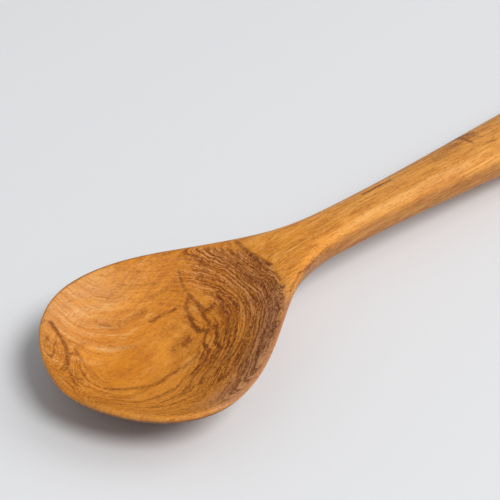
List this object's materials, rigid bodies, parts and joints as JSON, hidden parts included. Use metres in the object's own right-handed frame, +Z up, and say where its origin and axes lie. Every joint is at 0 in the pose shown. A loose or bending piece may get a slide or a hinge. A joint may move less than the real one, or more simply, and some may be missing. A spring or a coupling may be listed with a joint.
{
  "type": "wooden cooking spoon",
  "caption": "Carved wooden cooking spoon with a shallow egg-shaped bowl, a slim neck and a thick rounded handle, for stirring and serving.",
  "frame": {"origin": "on the worktop that the spoon lies on, under the middle of its length", "axes": "+X from the bowl towards the end of the handle, +Y across the spoon, +Z up out of the bowl's hollow"},
  "size_m": [0.305, 0.0684, 0.0238],
  "materials": {
    "carved_wood": "oiled satin hardwood with dark growth rings, golden brown"
  },
  "bodies": {
    "root": {"spoon": "carved_wood"}
  },
  "joints": []
}
